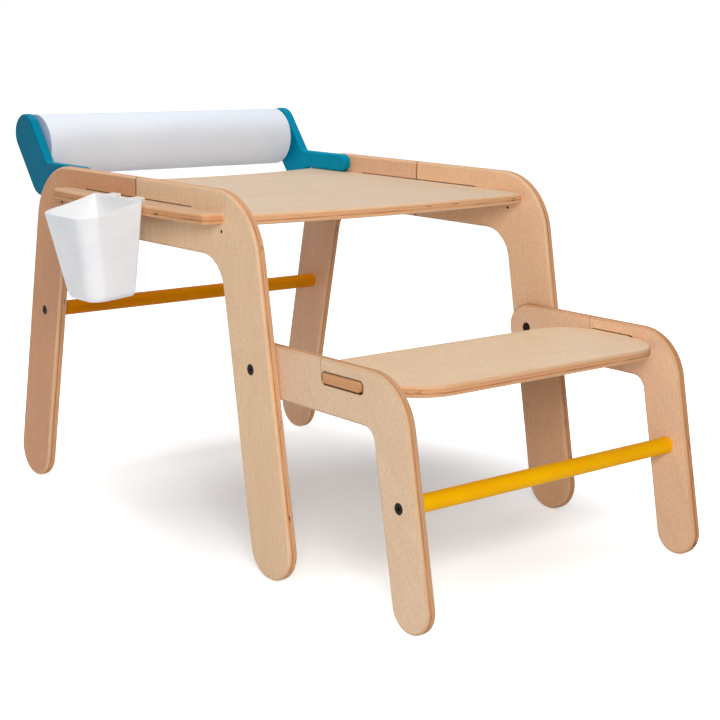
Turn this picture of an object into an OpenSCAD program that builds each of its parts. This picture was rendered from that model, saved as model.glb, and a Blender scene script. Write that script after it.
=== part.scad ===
// Child's plywood desk with a folding bench, a paper roll and a hanging cup.
// +Z is up, +Y points to the paper roll, the bench is on the -Y side, the cup on the -X side.
// The origin is on the floor, under the middle of the whole object's box.

/* [Desk sides] */
// Height of the sides
desk_h = 500; // [470:1:560]
// Thickness of every board
ply = 15; // [12:1:18]
// Distance between the feet of one side, centre to centre
feet_span = 626; // [580:1:680]
// Width of a desk leg
leg_w = 84; // [70:1:92]
// Outward lean of the desk legs, in degrees
leg_lean = 10.5; // [7:0.5:13]
// Height of the rail between the legs
rail_h = 88; // [80:1:110]
// Radius of the outer corners
side_outer_r = 96; // [60:1:110]
// Radius of the corners inside the arch
side_inner_r = 50; // [20:1:70]
// Gap at the seam between the two halves of a side
seam_gap = 0.6; // [0.2:0.1:1]

/* [Desk top] */
// Height of the sides above the working surface
side_rise = 29; // [24:1:36]
// Middle of the bowed front edge, measured forward from the middle of the sides
top_front = 259; // [230:1:290]
// Radius of the bow of the front edge
top_bow_r = 1900; // [1500:10:4000]
// Middle of the curved rear edge, measured backward
top_rear = 220; // [200:1:240]
// Radius of the hollow curve of the rear edge
rear_curve_r = 740; // [600:10:1200]
// Length of the neck that passes through a side
neck_len = 270; // [200:1:280]
// Reach of an ear outside its side
ear_reach = 40; // [34:1:60]
// Front end of an ear, measured forward
ear_front = 213; // [170:1:230]
// Rear end of an ear, measured backward
ear_rear = 183; // [150:1:230]
// Radius of the bowed outer edge of an ear
ear_bow_r = 2000; // [1200:10:4000]
// Radius of the corners of an ear
ear_corner_r = 10; // [4:1:20]

/* [Bench] */
// Distance from the middle of the desk to the bench feet
bench_foot_y = 568; // [540:1:600]
// Width of a bench leg
bench_leg_w = 65; // [50:1:80]
// Outward lean of the bench legs, in degrees
bench_lean = 11; // [7:0.5:14]
// Height of a bench arm, and of its round rear end
arm_h = 70; // [56:1:80]
// Radius of the outer corner of a bench side
bench_outer_r = 73; // [50:1:90]
// Radius of the inner corner of a bench side
bench_inner_r = 21; // [10:1:40]
// Gap between a bench side and the desk side next to it
bench_gap = 1.5; // [1.2:0.1:3]
// Height of the seat above the pivots
seat_rise = 18; // [14:0.5:22]
// Distance from the bench feet back to the rear edge of the seat
seat_back = 218; // [206:1:223]
// Depth of the seat
seat_d = 196; // [185:1:210]
// Radius of the seat's front corners
seat_corner_r = 70; // [20:1:74]
// Radius of the seat's rear corners
seat_rear_r = 58; // [20:1:60]
// Distance from the bench feet back to the rear end of the tenon slot
slot_back = 172; // [158:1:183]
// Length of the tenon slot
slot_len = 81; // [70:1:90]
// Length of the gap that the tenon leaves at the front of its slot
tenon_gap = 7; // [4:0.5:20]
// Width of the saw kerf between the slot and the top edge
kerf_w = 0.5; // [0.3:0.1:1.5]

/* [Bars and bolts] */
// Height of the pivots and of the rear bar
pivot_z = 273.5; // [266:0.5:280]
// Height of the bench bar
front_bar_z = 151; // [100:1:200]
// Diameter of the two bars
bar_d = 23; // [20:1:28]
// Diameter of a bolt's thread
bolt_d = 6; // [5:0.5:6]
// Diameter of a bolt's head
head_d = 14; // [12:0.5:18]
// Thickness of a bolt's head
head_t = 2; // [1.5:0.1:2.5]
// Length of thread inside a bar
bolt_grip = 16; // [12:1:24]
// Outer diameter of a threaded insert
insert_d = 9; // [8:0.5:11]
// Length of a threaded insert
insert_len = 14; // [10:1:16]
// Outer diameter of a pivot's sleeve nut
sleeve_d = 10; // [8:0.5:11]
// Diameter of a pivot's spacer washer
washer_d = 19; // [16:1:26]
// Diameter of the wooden dowels
dowel_d = 8; // [6:1:8]
// Length of the dowels at the seams
seam_dowel_len = 40; // [30:1:60]
// Length of the dowels that hold the roll brackets
bracket_dowel_len = 20; // [16:1:22]
// Diameter of the small holes under the ears
peg_hole_d = 4.5; // [3:0.5:6]

/* [Roll and brackets] */
// Width of a bracket's arms at the elbow and head
bracket_w = 61; // [56:1:70]
// Front end of a bracket's lower arm, behind the middle of the desk
bracket_front = 165; // [150:1:175]
// Gap between the rear edge of the desk top and the elbow behind it
elbow_gap = 5.2; // [2:0.1:12]
// How far the centre of the head lies behind the centre of the elbow
head_back = 47; // [36:0.5:58]
// Centre of the head above the working surface
head_rise = 68; // [55:1:80]
// Diameter of the paper roll
roll_d = 95; // [60:1:100]
// Length of the paper roll
roll_len = 464; // [380:1:540]
// Free length between each end of the roll and its bracket, which sets the desk's width
roll_play = 8; // [4:0.5:20]
// How far the roll sits off centre, towards the cup
roll_off = 2.5; // [0:0.5:3]
// How far the roll's axis lies behind the centre of the elbow
roll_back = 45; // [34:0.5:50]
// Roll's axis above the working surface
roll_rise = 50; // [44:1:60]
// Outer diameter of the cardboard core
core_d = 32; // [28:1:40]
// Diameter of the spindle
spindle_d = 24; // [18:1:26]
// Diameter of the spindle's ends
journal_d = 12; // [8:1:16]
// Depth of a bracket's socket
socket_depth = 10; // [6:1:11]

/* [Cup] */
// Width of the cup's mouth, along the ear
cup_w = 123; // [105:1:130]
// Depth of the cup's mouth, away from the ear
cup_d = 93.5; // [85:0.5:110]
// Height of the cup below the working surface
cup_h = 125.5; // [100:0.5:140]
// Width of the cup's floor
cup_floor_w = 83; // [70:1:95]
// Depth of the cup's floor
cup_floor_d = 66.5; // [60:0.5:80]
// Wall of the cup
cup_wall = 2.2; // [1.5:0.1:3]
// Radius of the cup's two outer upright corners
cup_r = 25; // [14:1:28]
// Radius of the cup's two upright corners next to the ear
cup_back_r = 4; // [3:0.5:8]
// Middle of the cup, forward from the middle of the desk
cup_front = 21.5; // [-50:0.5:50]
// Lean of the cup's mouth, in degrees: its back stays plumb
cup_lean = 5.5; // [3:0.5:8]
// Width of each of the cup's two hooks
hook_w = 18; // [14:1:30]
// Distance between the hooks, centre to centre
hook_pitch = 62; // [50:1:66]
// How far the hooks' middle lies behind the cup's middle
hook_off = 19.5; // [0:0.5:22]
// Reach of the hook over the ear
hook_reach = 28; // [24:1:30]

/* [Hidden] */
$fn = 48;

// Clearances
seat_gap = 0.3;         // between faces that only rest near each other
run_gap = 0.05;         // radial, shaft in bore
slot_play = 1.2;        // above the neck in its slot
slot_end_play = 2;      // at each end of the neck
recess_gap = 0.5;       // round a bolt head, and under it

// Planes across the width: the roll fixes the brackets, which stand against the sides
bracket_in = roll_len / 2 + roll_play;
side_in = bracket_in + ply;
side_out = side_in + ply;
bench_out = side_in - bench_gap;
bench_in = bench_out - ply;
neck_out = side_out + seat_gap;

// Heights
top_z = desk_h - side_rise;
slot_floor = top_z - ply;
rail_z = desk_h - rail_h;
head_seat = head_t + recess_gap;
recess_d = head_d + 2 * recess_gap;

// A leg's centre line at a height, as a distance from the middle of the desk
function on_leg(foot, w, lean, z) = foot - tan(lean) * (z - w / 2);
pivot_y = on_leg(feet_span / 2, leg_w, leg_lean, pivot_z);
front_bar_y = on_leg(bench_foot_y, bench_leg_w, bench_lean, front_bar_z);
arm_top = pivot_z + arm_h / 2;

// Seat and tenon
seat_z = pivot_z + seat_rise;
seat_rear = bench_foot_y - seat_back;
seat_front = seat_rear + seat_d;
slot_rear = bench_foot_y - slot_back;
slot_play_z = 1;
tenon_play = 1;
tenon_rear = slot_rear + tenon_play;
tenon_len = slot_len - tenon_play - tenon_gap;
tenon_chamfer = 2;
tenon_edge = 3;
slot_corner_r = 7;
kerf_lean = 7;

// Side dowels sit in the middle of the wood above and below the neck
upper_dowel_z = (top_z + slot_play + desk_h) / 2;
lower_dowel_z = (rail_z + slot_floor) / 2;
bracket_dowel_in = 22;
bracket_dowel_pitch = 44;
bracket_dowel_y = [for (i = [0, 1]) bracket_front + bracket_dowel_in + i * bracket_dowel_pitch];
bracket_dowel_z = (top_z + desk_h) / 2 - 0.9;
peg_hole_y = 207;
peg_hole_z = slot_floor - 10;

// Roll and brackets: the elbows stand behind the hollow rear edge of the desk top
rear_edge = top_rear + rear_curve_r - sqrt(rear_curve_r ^ 2 - side_in ^ 2);
elbow_y = rear_edge + elbow_gap + bracket_w / 2;
head_y = elbow_y + head_back;
roll_y = elbow_y + roll_back;
bracket_foot = top_z + seat_gap;
arm_t = desk_h - bracket_foot;
elbow_rise = 6;
elbow_z = top_z + elbow_rise;
head_z = top_z + head_rise;
roll_z = top_z + roll_rise;
bracket_fillet_r = 9;
spindle_len = 2 * (bracket_in - seat_gap);
core_bore_d = spindle_d + 2 * seat_gap;

// Cup: its own frame has u outward, v along the ear, w upward, on the ear's top outer edge
ear_mid = (ear_front - ear_rear) / 2;
ear_out = side_out + ear_reach;
cup_back = 0.6;
cup_rim_back = 6.3;
cup_rim_front = -7.5;
cup_rim_reach = 1.2 * cup_d;
cup_floor_back = cup_back + cup_h * tan(cup_lean);
cup_foot_r = 8;
hook_t = 2.4;
hook_drop = 12;
hook_v = [for (side = [-1, 1]) hook_off + side * hook_pitch / 2];
tongue_in = 1.2;
tongue_out = 1.2;
cup_slot_near = ear_out - hook_reach * cos(cup_lean) - hook_drop * sin(cup_lean) - tongue_in;
cup_slot_far = ear_out - (hook_reach - hook_t) * cos(cup_lean) + tongue_out;

// Outer face, back face and width of the cup at a height
function cup_blend(low, high, w) = low + (high - low) * (w + cup_h) / cup_h;
function cup_outer(w) = cup_blend(cup_floor_back + cup_floor_d, cup_d, w);
function cup_inner(w) = cup_blend(cup_floor_back, cup_back, w);
function cup_width(w) = cup_blend(cup_floor_w, cup_w, w);

// Height of the rim at a distance from the ear: level outside, sweeping up to the back
function rim_at(u) =
  cup_rim_front + (cup_rim_back - cup_rim_front) * max(0, 1 - u / cup_rim_reach) ^ 1.7;

// The whole object's box, for the origin
cup_lip_w = rim_at(cup_d);
cup_out = ear_out + cup_outer(cup_lip_w) * cos(cup_lean) + cup_lip_w * sin(cup_lean);
reach_front = bench_foot_y + bench_leg_w / 2;
reach_rear = max(roll_y + roll_d / 2, head_y + bracket_w / 2);
shift = [(cup_out - ear_out) / 2, (reach_front - reach_rear) / 2, 0];

birch = "BurlyWood";
turquoise = "DarkCyan";
yellow = "Goldenrod";
black = "DimGray";

// ---------- outlines ----------

function unit(v) = v / norm(v);
function half_angle(a, b, c) = acos(unit(a - b) * unit(c - b)) / 2;
function cut_on(a, b, c, r) = b + unit(a - b) * r / tan(half_angle(a, b, c));
function arc_centre(a, b, c, r) = b + unit(unit(a - b) + unit(c - b)) * r / sin(half_angle(a, b, c));
function turns_left(a, b, c) = cross(b - a, c - b) > 0;

// Closed outline, counter-clockwise, each corner rounded by its own radius (0 keeps it sharp)
module rounded(points, radii) {
  n = len(points);
  corners = [for (i = [0 : n - 1]) [points[(i + n - 1) % n], points[i], points[(i + 1) % n], radii[i]]];
  straight = [for (k = corners) each k[3] > 0
    ? [cut_on(k[0], k[1], k[2], k[3]), cut_on(k[2], k[1], k[0], k[3])] : [k[1]]];
  difference() {
    union() {
      polygon(straight);
      for (k = corners) if (k[3] > 0 && turns_left(k[0], k[1], k[2])) corner_cap(k);
    }
    for (k = corners) if (k[3] > 0 && !turns_left(k[0], k[1], k[2])) corner_cap(k);
  }
}

// The part of a corner's circle that lies between the corner and the chord
module corner_cap(k) {
  intersection() {
    polygon([cut_on(k[0], k[1], k[2], k[3]), k[1], cut_on(k[2], k[1], k[0], k[3])]);
    translate(arc_centre(k[0], k[1], k[2], k[3])) circle(k[3]);
  }
}

// Half disc on the far side of a line through its centre, facing the given direction
module half_disc(centre, r, direction) {
  translate(centre) rotate(direction) intersection() {
    circle(r);
    translate([0, -r]) square([r, 2 * r]);
  }
}

// Where a leg's edge, offset sideways from its centre line, meets a height
function leg_edge(foot, w, lean, side, z) =
  [foot + side * (w / 2) / cos(lean) - tan(lean) * (z - w / 2), z];
function foot_edge(foot, w, lean, side) = [foot, w / 2] + side * (w / 2) * [cos(lean), sin(lean)];

// The rounded end of a leg, below the line between its two foot edges
module foot_cap(foot, w, lean) {
  down = w * [sin(lean), -cos(lean)];
  left = foot_edge(foot, w, lean, -1);
  right = foot_edge(foot, w, lean, 1);
  intersection() {
    polygon([left, left + down, right + down, right]);
    translate([foot, w / 2]) rotate(lean) circle(w / 2);
  }
}

// Half of a desk side: a leg and half of the rail, in distance from the middle and height
module half_arch() {
  foot = feet_span / 2;
  start = seam_gap / 2;
  difference() {
    union() {
      rounded(
        [
          [start, rail_z],
          leg_edge(foot, leg_w, leg_lean, -1, rail_z),
          foot_edge(foot, leg_w, leg_lean, -1),
          foot_edge(foot, leg_w, leg_lean, 1),
          leg_edge(foot, leg_w, leg_lean, 1, desk_h),
          [start, desk_h]
        ],
        [0, side_inner_r, 0, 0, side_outer_r, 0]
      );
      foot_cap(foot, leg_w, leg_lean);
    }
    translate([0, slot_floor]) square([neck_len / 2 + slot_end_play, ply + slot_play]);
    translate([peg_hole_y, peg_hole_z]) circle(d = peg_hole_d);
  }
}

// Bench side in distance from the middle of the desk and height
module bench_profile() {
  difference() {
    union() {
      rounded(
        [
          [pivot_y, pivot_z - arm_h / 2],
          leg_edge(bench_foot_y, bench_leg_w, bench_lean, -1, pivot_z - arm_h / 2),
          foot_edge(bench_foot_y, bench_leg_w, bench_lean, -1),
          foot_edge(bench_foot_y, bench_leg_w, bench_lean, 1),
          leg_edge(bench_foot_y, bench_leg_w, bench_lean, 1, arm_top),
          [pivot_y, arm_top]
        ],
        [0, bench_inner_r, 0, 0, bench_outer_r, 0]
      );
      foot_cap(bench_foot_y, bench_leg_w, bench_lean);
      half_disc([pivot_y, pivot_z], arm_h / 2, 180);
    }
    tenon_slot();
    translate([slot_rear + kerf_w, seat_z]) rotate(kerf_lean)
      translate([-kerf_w / 2, -ply / 2]) square([kerf_w, arm_h]);
  }
}

module tenon_slot() {
  low = seat_z - ply - slot_play_z;
  high = seat_z + slot_play_z;
  rounded(
    [[slot_rear, low], [slot_rear + slot_len, low], [slot_rear + slot_len, high], [slot_rear, high]],
    [slot_corner_r, slot_corner_r, slot_corner_r, slot_corner_r]
  );
}

// Bracket in distance behind the middle of the desk and height
module bracket_profile() {
  r = bracket_w / 2;
  elbow = [elbow_y, elbow_z];
  head = [head_y, head_z];
  lean = atan2(head_z - elbow_z, head_y - elbow_y);
  up = unit(head - elbow);
  front = [-up[1], up[0]];
  front_foot = elbow + r * front;
  // where the upper arm's front edge crosses the top of the lower arm
  notch = front_foot + up * (desk_h - front_foot[1]) / up[1];
  beyond = notch + up;
  before = notch - [1, 0];
  inside = notch - bracket_fillet_r * unit(unit(before - notch) + unit(beyond - notch));
  difference() {
    union() {
      translate(elbow) rotate(lean) {
        translate([0, -r]) square([norm(head - elbow), 2 * r]);
        half_disc([0, 0], r, 180);
        half_disc([norm(head - elbow), 0], r, 0);
      }
      rounded(
        [[bracket_front, bracket_foot], [elbow_y, bracket_foot], [elbow_y, desk_h], [bracket_front, desk_h]],
        [arm_t * 0.48, 0, 0, arm_t * 0.48]
      );
      polygon([
        cut_on(before, notch, beyond, bracket_fillet_r), inside,
        cut_on(beyond, notch, before, bracket_fillet_r)
      ]);
    }
    translate(arc_centre(before, notch, beyond, bracket_fillet_r)) circle(bracket_fillet_r);
  }
}

// Desk top seen from above, forward is -Y
module top_outline() {
  edge = side_in - seat_gap;
  difference() {
    intersection() {
      translate([-edge, -top_front - 1]) square([2 * edge, 2 * top_front + ply]);
      translate([0, top_bow_r - top_front]) circle(top_bow_r, $fn = 512);
    }
    translate([0, top_rear + rear_curve_r]) circle(rear_curve_r, $fn = 256);
  }
  for (side = [-1, 1]) {
    translate([side * (edge + neck_out) / 2, 0]) square([neck_out - edge, neck_len], center = true);
    scale([side, 1]) ear_outline();
  }
}

// One ear on the +X side: a strip with a bowed outer edge and rounded corners
module ear_outline() {
  bow = [ear_out - ear_bow_r, -ear_mid];
  difference() {
    intersection() {
      translate([neck_out, -ear_front]) square([ear_reach, ear_front + ear_rear]);
      translate(bow) circle(ear_bow_r, $fn = 512);
    }
    ear_corner(bow, -ear_front, 1);
    ear_corner(bow, ear_rear, -1);
  }
}

// What rounding takes off where the bowed edge meets an end of the ear
module ear_corner(bow, end, inward) {
  y = end + inward * ear_corner_r;
  reach = ear_bow_r - ear_corner_r;
  centre = [bow[0] + sqrt(reach ^ 2 - (y - bow[1]) ^ 2), y];
  on_bow = bow + (centre - bow) * ear_bow_r / reach;
  past = end - inward;
  difference() {
    polygon([centre, [centre[0], past], [ear_out + 1, past], [ear_out + 1, on_bow[1]], on_bow]);
    translate(centre) circle(ear_corner_r);
  }
}

// Seat seen from above, forward is -Y
module seat_outline() {
  edge = bench_in - seat_gap;
  rounded(
    [[-edge, -seat_front], [edge, -seat_front], [edge, -seat_rear], [-edge, -seat_rear]],
    [seat_corner_r, seat_corner_r, seat_rear_r, seat_rear_r]
  );
}

// ---------- placing ----------

module placed() {
  translate(shift) children();
}

// Stands an outline upright: its first axis runs backward, its second up, and it fills x0 to x0 + t
module upright(x0, t) {
  translate([x0, 0, 0]) rotate([90, 0, 90]) linear_extrude(t) children();
}

module forward() {
  mirror([1, 0]) children();
}

// A round solid along X
module along_x(x0, x1, d) {
  translate([x0, 0, 0]) rotate([0, 90, 0]) cylinder(d = d, h = x1 - x0);
}

// The same on both sides
module both_sides() {
  children();
  mirror([1, 0, 0]) children();
}

// ---------- desk ----------

module desk_top() {
  color(birch) placed() translate([0, 0, slot_floor]) difference() {
    linear_extrude(ply) top_outline();
    // slots in the left ear for the cup's hooks
    for (v = hook_v) translate([-cup_slot_far, v - cup_front - hook_w / 2 - tongue_out, -1])
      cube([cup_slot_far - cup_slot_near, hook_w + 2 * tongue_out, ply + 2]);
  }
}

// Bore for a bolt through a board whose outer face is at the given x, with a recess for the head
module bolt_bore(outer, bore) {
  along_x(outer - ply - 1, outer + 1, bore);
  along_x(outer - head_seat, outer + 1, recess_d);
}

module seam_dowel_places() {
  for (z = [lower_dowel_z, upper_dowel_z]) translate([side_out - ply / 2, 0, z]) children();
}

module right_half_board() {
  upright(side_in, ply) children();
}

module seam_bores() {
  seam_dowel_places() rotate([90, 0, 0])
    cylinder(d = dowel_d + 2 * run_gap, h = seam_dowel_len + 1, center = true);
}

module front_half() {
  difference() {
    right_half_board() forward() half_arch();
    translate([0, -pivot_y, pivot_z]) bolt_bore(side_out, sleeve_d + 2 * run_gap);
    seam_bores();
  }
}

module rear_half() {
  difference() {
    right_half_board() half_arch();
    translate([0, pivot_y, pivot_z]) bolt_bore(side_out, bolt_d + 2 * run_gap);
    seam_bores();
    for (y = bracket_dowel_y) translate([0, y, bracket_dowel_z])
      along_x(side_in - 1, side_in + bracket_dowel_len / 2 + seat_gap, dowel_d + 2 * run_gap);
  }
}

module left_front_side() {
  color(birch) placed() mirror([1, 0, 0]) front_half();
}

module left_rear_side() {
  color(birch) placed() mirror([1, 0, 0]) rear_half();
}

module right_front_side() {
  color(birch) placed() front_half();
}

module right_rear_side() {
  color(birch) placed() rear_half();
}

module seam_dowels() {
  seam_dowel_places() rotate([90, 0, 0]) cylinder(d = dowel_d, h = seam_dowel_len, center = true);
}

module left_seam_dowels() {
  color(birch) placed() mirror([1, 0, 0]) seam_dowels();
}

module right_seam_dowels() {
  color(birch) placed() seam_dowels();
}

// ---------- bars and their fasteners ----------

// A bar along X between two inner faces, with a stepped bore in each end for insert and bolt
module bar(inner) {
  difference() {
    along_x(-inner, inner, bar_d);
    both_sides() {
      along_x(inner - insert_len - seat_gap, inner + 1, insert_d + 2 * run_gap);
      along_x(inner - bolt_grip - 2, inner + 1, bolt_d + 2 * run_gap);
    }
  }
}

// A bolt whose head lies in the recess of a board's outer face
module bolt(outer, reach) {
  difference() {
    union() {
      along_x(outer - reach, outer - head_seat + head_t / 2, bolt_d);
      along_x(outer - head_seat, outer - recess_gap, head_d);
    }
    // hexagon socket
    translate([outer - recess_gap - head_t * 0.8, 0, 0]) rotate([0, 90, 0])
      cylinder(d = head_d * 0.36, h = head_t, $fn = 6);
  }
}

module insert(inner) {
  difference() {
    along_x(inner - insert_len, inner - seat_gap, insert_d);
    along_x(inner - insert_len - 1, inner + 1, bolt_d + 2 * run_gap);
  }
}

module at_rear_bar() {
  translate([0, pivot_y, pivot_z]) children();
}

module at_front_bar() {
  translate([0, -front_bar_y, front_bar_z]) children();
}

module at_pivot() {
  translate([0, -pivot_y, pivot_z]) children();
}

module rear_bar() {
  color(yellow) placed() at_rear_bar() bar(side_in);
}

module rear_bar_bolts() {
  color(black) placed() at_rear_bar() both_sides() bolt(side_out, ply + bolt_grip);
}

module rear_bar_inserts() {
  color("silver") placed() at_rear_bar() both_sides() insert(side_in);
}

module front_bar() {
  color(yellow) placed() at_front_bar() bar(bench_in);
}

module front_bar_bolts() {
  color(black) placed() at_front_bar() both_sides() bolt(bench_out, ply + bolt_grip);
}

module front_bar_inserts() {
  color("silver") placed() at_front_bar() both_sides() insert(bench_in);
}

// ---------- pivots ----------

// Bolt from outside into the sleeve nut, which the bench side turns on
module pivot_bolts() {
  color(black) placed() at_pivot() both_sides() bolt(side_out, ply + bench_gap + ply / 2);
}

module pivot_sleeves() {
  color(black) placed() at_pivot() both_sides() difference() {
    union() {
      along_x(bench_in + head_seat - head_t / 2, side_out - head_seat, sleeve_d);
      along_x(bench_in + recess_gap, bench_in + head_seat - 0.1, head_d);
    }
    along_x(bench_in + head_seat, side_out, bolt_d + 2 * run_gap);
  }
}

module pivot_washers() {
  color("silver") placed() at_pivot() both_sides() difference() {
    along_x(bench_out + seat_gap, side_in, washer_d);
    along_x(bench_out, side_in + 1, sleeve_d + 2 * run_gap);
  }
}

// ---------- bench ----------

module bench_side() {
  difference() {
    upright(bench_in, ply) forward() bench_profile();
    at_pivot() {
      along_x(bench_in - 1, bench_out + 1, sleeve_d + 2 * run_gap);
      along_x(bench_in - 1, bench_in + head_seat, recess_d);
    }
    at_front_bar() bolt_bore(bench_out, bolt_d + 2 * run_gap);
  }
}

module bench_side_left() {
  color(birch) placed() mirror([1, 0, 0]) bench_side();
}

module bench_side_right() {
  color(birch) placed() bench_side();
}

// Tenon along +X on the board's own level, with chamfered edges
module tenon() {
  start = bench_in - seat_gap - 1;
  end = bench_out;
  c = tenon_chamfer;
  e = tenon_edge;
  translate([0, -tenon_rear - tenon_len, 0]) intersection() {
    translate([start - 1, 0, 0]) rotate([90, 0, 90]) linear_extrude(end - start + 2) polygon([
      [0, e], [e + 1, -1], [tenon_len - e - 1, -1], [tenon_len, e],
      [tenon_len, ply - e], [tenon_len - e - 1, ply + 1], [e + 1, ply + 1], [0, ply - e]
    ]);
    translate([0, 2 * tenon_len, 0]) rotate([90, 0, 0]) linear_extrude(3 * tenon_len)
      polygon([
        [start, -1], [end - c - 1, -1], [end, c], [end, ply - c], [end - c - 1, ply + 1], [start, ply + 1]
      ]);
    linear_extrude(ply) polygon([
      [start, 0], [end - c, 0], [end, c], [end, tenon_len - c], [end - c, tenon_len], [start, tenon_len]
    ]);
  }
}

module seat_board() {
  color(birch) placed() translate([0, 0, seat_z - ply]) {
    linear_extrude(ply) seat_outline();
    both_sides() tenon();
  }
}

// ---------- roll ----------

module bracket() {
  difference() {
    upright(bracket_in, ply) bracket_profile();
    translate([0, roll_y, roll_z])
      along_x(bracket_in - 1, bracket_in + socket_depth, journal_d + 2 * run_gap);
    for (y = bracket_dowel_y) translate([0, y, bracket_dowel_z])
      along_x(side_in - bracket_dowel_len / 2 - seat_gap, side_in + 1, dowel_d + 2 * run_gap);
  }
}

module bracket_left() {
  color(turquoise) placed() mirror([1, 0, 0]) bracket();
}

module bracket_right() {
  color(turquoise) placed() bracket();
}

module bracket_dowels() {
  color(birch) placed() both_sides() for (y = bracket_dowel_y) translate([0, y, bracket_dowel_z])
    along_x(side_in - bracket_dowel_len / 2, side_in + bracket_dowel_len / 2, dowel_d);
}

module at_roll() {
  translate([0, roll_y, roll_z]) children();
}

module off_centre() {
  translate([-roll_off, 0, 0]) children();
}

module roll_spindle() {
  journal_end = bracket_in + socket_depth - seat_gap;
  color(birch) placed() at_roll() {
    along_x(-spindle_len / 2, spindle_len / 2, spindle_d);
    along_x(-journal_end, journal_end, journal_d);
  }
}

module core_tube() {
  color("Tan") placed() at_roll() off_centre() difference() {
    along_x(-roll_len / 2, roll_len / 2, core_d);
    along_x(-roll_len, roll_len, core_bore_d);
  }
}

module paper_roll() {
  color("white") placed() at_roll() off_centre() difference() {
    along_x(-roll_len / 2, roll_len / 2, roll_d);
    along_x(-roll_len, roll_len, core_d);
  }
}

// ---------- cup ----------

// A thin slice of the cup at a height, inset all round: four corners for a hull
module cup_slice(w, inset) {
  half = cup_width(w) / 2 - inset;
  near = cup_inner(w) + inset;
  far = cup_outer(w) - inset;
  outer_r = cup_r - inset;
  back_r = max(cup_back_r - inset, 1);
  for (side = [-1, 1]) {
    translate([far - outer_r, side * (half - outer_r), w]) cylinder(r = outer_r, h = 0.01);
    translate([near + back_r, side * (half - back_r), w]) cylinder(r = back_r, h = 0.01);
  }
}

// The cup's closed form with a rounded foot, up to a plain top above its rim
module cup_form(inset) {
  low = inset - cup_h;
  hull() {
    cup_slice(cup_rim_back + 1, inset);
    for (a = [0 : 22.5 : 90]) cup_slice(
      low + cup_foot_r * (1 - sin(a)), inset + cup_foot_r * (1 - cos(a))
    );
  }
}

module below_rim() {
  steps = 12;
  rotate([90, 0, 0]) linear_extrude(2 * cup_w, center = true) polygon(concat(
    [[-cup_d, -2 * cup_h], [2 * cup_d, -2 * cup_h], [2 * cup_d, cup_rim_front]],
    [for (i = [steps : -1 : 0]) [i * cup_rim_reach / steps, rim_at(i * cup_rim_reach / steps)]],
    [[-cup_d, cup_rim_back]]
  ));
}

module cup() {
  color("white") placed() translate([-ear_out, -cup_front, top_z]) rotate([0, -cup_lean, 0])
    mirror([1, 0, 0]) {
      intersection() {
        difference() {
          cup_form(0);
          cup_form(cup_wall);
        }
        below_rim();
      }
      // each hook: a lip over the ear and a tongue in the ear's slot
      for (v = hook_v) {
        translate([-hook_reach, v - hook_w / 2, seat_gap])
          cube([hook_reach + cup_back + cup_wall / 2, hook_w, hook_t]);
        translate([-hook_reach, v - hook_w / 2, seat_gap - hook_drop])
          cube([hook_t, hook_w, hook_drop + hook_t]);
      }
    }
}

desk_top();
left_front_side();
left_rear_side();
right_front_side();
right_rear_side();
left_seam_dowels();
right_seam_dowels();
rear_bar();
rear_bar_bolts();
rear_bar_inserts();
pivot_bolts();
pivot_sleeves();
pivot_washers();
bench_side_left();
bench_side_right();
seat_board();
front_bar();
front_bar_bolts();
front_bar_inserts();
bracket_left();
bracket_right();
bracket_dowels();
roll_spindle();
core_tube();
paper_roll();
cup();
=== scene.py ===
"""Looks for the child's desk with attached bench: materials, small soft edges, light and camera."""
import math

import bmesh
import bpy
from mathutils import Matrix, Vector

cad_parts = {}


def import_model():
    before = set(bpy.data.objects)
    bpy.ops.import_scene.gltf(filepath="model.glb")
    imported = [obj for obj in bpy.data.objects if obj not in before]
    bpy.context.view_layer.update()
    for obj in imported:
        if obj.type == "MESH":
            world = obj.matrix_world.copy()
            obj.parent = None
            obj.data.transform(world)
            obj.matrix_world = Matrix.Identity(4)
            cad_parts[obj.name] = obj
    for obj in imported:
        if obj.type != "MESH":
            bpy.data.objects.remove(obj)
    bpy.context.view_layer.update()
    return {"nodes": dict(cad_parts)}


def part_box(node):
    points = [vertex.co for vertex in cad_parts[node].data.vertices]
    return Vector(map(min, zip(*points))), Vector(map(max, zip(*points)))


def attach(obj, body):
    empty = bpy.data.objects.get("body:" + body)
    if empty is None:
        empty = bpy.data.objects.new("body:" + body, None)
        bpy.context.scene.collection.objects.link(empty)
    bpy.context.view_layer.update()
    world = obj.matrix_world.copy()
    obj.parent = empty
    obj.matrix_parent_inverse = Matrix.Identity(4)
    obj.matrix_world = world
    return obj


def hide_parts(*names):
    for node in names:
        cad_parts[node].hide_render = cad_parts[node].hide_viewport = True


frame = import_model()
NODES = frame["nodes"]

MM = 0.001
MICRON = 1e-6


# ---------- places taken from the frame ----------

def middle_of_desk():
    """The seam between the two halves of a side, midway between the two sides, on the floor."""
    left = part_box("left_front_side")
    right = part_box("right_rear_side")
    return Vector(((left[0].x + right[1].x) / 2, (left[1].y + right[0].y) / 2, 0.0))


def middle(box):
    return (box[0] + box[1]) / 2


DESK = middle_of_desk()
SEAM_Y = DESK.y
PIVOT = middle(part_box("pivot_bolts"))
REAR_BAR = middle(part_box("rear_bar"))
FRONT_BAR = middle(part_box("front_bar"))
ROLL = middle(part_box("roll_spindle"))
TOP_LOW, TOP_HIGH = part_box("desk_top")
SEAT_LOW, SEAT_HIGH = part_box("seat_board")
CUP_LOW, CUP_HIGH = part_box("cup")
# x of the desk sides' inner and outer faces and of the bench sides' inner faces, left and right
SIDES_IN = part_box("left_front_side")[1].x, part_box("right_front_side")[0].x
SIDES_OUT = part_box("left_front_side")[0].x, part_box("right_front_side")[1].x
BENCH_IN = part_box("bench_side_left")[1].x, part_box("bench_side_right")[0].x

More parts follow.
